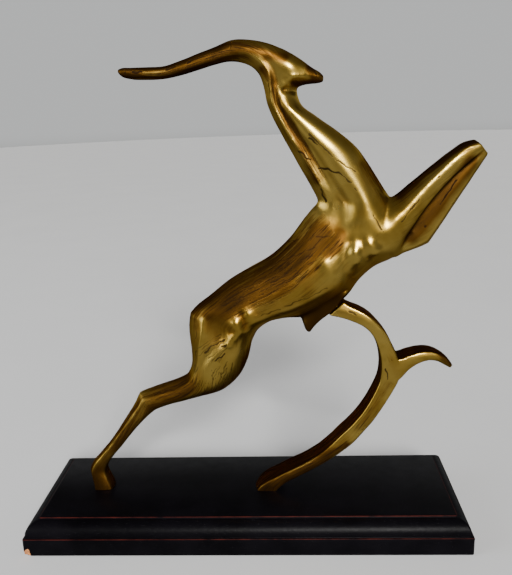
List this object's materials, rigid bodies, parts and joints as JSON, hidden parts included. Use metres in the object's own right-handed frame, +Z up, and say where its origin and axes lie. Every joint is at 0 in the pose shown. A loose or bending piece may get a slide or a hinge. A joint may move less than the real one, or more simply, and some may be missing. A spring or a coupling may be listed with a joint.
{
  "type": "hood ornament",
  "caption": "Leaping gazelle mascot in cast brass with one swept-back horn, held up by a curved branch with a leaf, on a moulded black wooden display plinth",
  "frame": {"origin": "centre of the flat underside that the plinth rests on", "axes": "+Z up; +X along the plinth, the way the gazelle leaps; +Y across the figure, away from the viewer of its front side"},
  "size_m": [0.309, 0.1, 0.3283],
  "materials": {
    "aged_brass": "hand-polished cast brass with brown patina in the hollows",
    "black_wood": "black gloss lacquer on wood, worn at the edges",
    "baize": "dark green wool baize, glued",
    "fixing_steel": "plain zinc-plated steel"
  },
  "bodies": {
    "root": {"plinth": "black_wood", "base_baize": "baize", "gazelle_casting": "aged_brass", "horn_casting": "aged_brass", "branch_casting": "aged_brass", "horn_peg": "aged_brass", "branch_peg": "aged_brass", "hoof_stud": "fixing_steel", "hoof_washer": "fixing_steel", "hoof_lock_washer": "fixing_steel", "hoof_nut": "fixing_steel", "foot_stud": "fixing_steel", "foot_washer": "fixing_steel", "foot_lock_washer": "fixing_steel", "foot_nut": "fixing_steel"}
  },
  "joints": []
}
